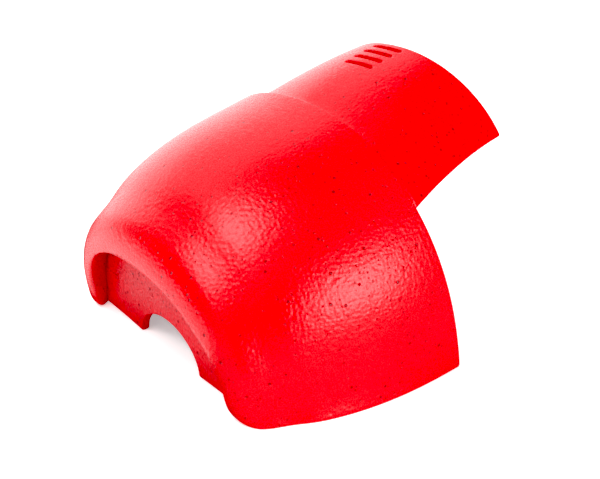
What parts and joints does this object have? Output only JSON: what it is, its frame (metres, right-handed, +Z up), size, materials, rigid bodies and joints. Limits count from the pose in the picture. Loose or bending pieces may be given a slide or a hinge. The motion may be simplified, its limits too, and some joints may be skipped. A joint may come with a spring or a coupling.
{
  "type": "elbow pad",
  "caption": "Martial arts elbow pad: a domed foam cup with a notched front wall, an arm guard and two hook-and-loop straps inside.",
  "frame": {"origin": "on the floor plane under the middle of the pad's bounding box", "axes": "+Z up, +Y from the mouth of the cup to the free end of the arm guard, +X across the pad to the ring side of the straps"},
  "size_m": [0.1456, 0.137, 0.0995],
  "materials": {
    "red_skin": "dipped vinyl with a fine pebbled leather grain, satin",
    "foam": "closed-cell foam, matte",
    "lining": "knitted nylon lining, matte",
    "cushion_cloth": "brushed knit over soft foam, matte",
    "base_rubber": "moulded rubber, matte",
    "webbing": "woven elastic webbing, matte",
    "rivet_metal": "nickel plated, brushed",
    "ring_metal": "nickel plated wire, satin",
    "loop_pile": "loop pile, fuzzy matte",
    "hook_tape": "nylon hook tape, matte",
    "pull_tab": "folded red tape, matte"
  },
  "bodies": {
    "pad": {"cup_skin": "red_skin", "cup_core": "foam", "cup_lining": "lining", "front_wall_skin": "red_skin", "front_wall_core": "foam", "arm_guard_skin": "red_skin", "arm_guard_core": "foam", "arm_guard_lining": "lining", "elbow_cushion": "cushion_cloth", "forearm_anchor_base": "base_rubber", "forearm_strap": "webbing", "forearm_anchor_rivets": "rivet_metal", "forearm_keeper_base": "base_rubber", "forearm_keeper": "webbing", "forearm_keeper_rivets": "rivet_metal", "forearm_loop_tape": "loop_pile", "arm_anchor_base": "base_rubber", "arm_strap": "webbing", "arm_anchor_rivets": "rivet_metal", "arm_keeper_base": "base_rubber", "arm_keeper": "webbing", "arm_keeper_rivets": "rivet_metal", "arm_loop_tape": "loop_pile"},
    "forearm_ring": {"forearm_ring": "ring_metal"},
    "forearm_tab": {"forearm_strap_end": "webbing", "forearm_hook_tape": "hook_tape", "forearm_pull_tab": "pull_tab"},
    "arm_ring": {"arm_ring": "ring_metal"},
    "arm_tab": {"arm_strap_end": "webbing", "arm_hook_tape": "hook_tape", "arm_pull_tab": "pull_tab"}
  },
  "joints": [
    {"name": "forearm_ring_swing", "type": "hinge", "parent": "pad", "child": "forearm_ring", "pos_m": [0.04885, 0.0004, 0.0255], "axis": [0, 0, 1], "range_deg": [-8, 8]},
    {"name": "forearm_strap_peel", "type": "hinge", "parent": "pad", "child": "forearm_tab", "pos_m": [0.02485, 0.00015, 0.0255], "axis": [0, 0, -1], "range_deg": [0, 100]},
    {"name": "arm_ring_swing", "type": "hinge", "parent": "pad", "child": "arm_ring", "pos_m": [0.02685, 0.0481, 0.06539], "axis": [0, 0.9781, 0.2079], "range_deg": [-8, 8]},
    {"name": "arm_strap_peel", "type": "hinge", "parent": "pad", "child": "arm_tab", "pos_m": [0.00285, 0.04805, 0.06563], "axis": [0, -0.9781, -0.2079], "range_deg": [0, 100]}
  ]
}
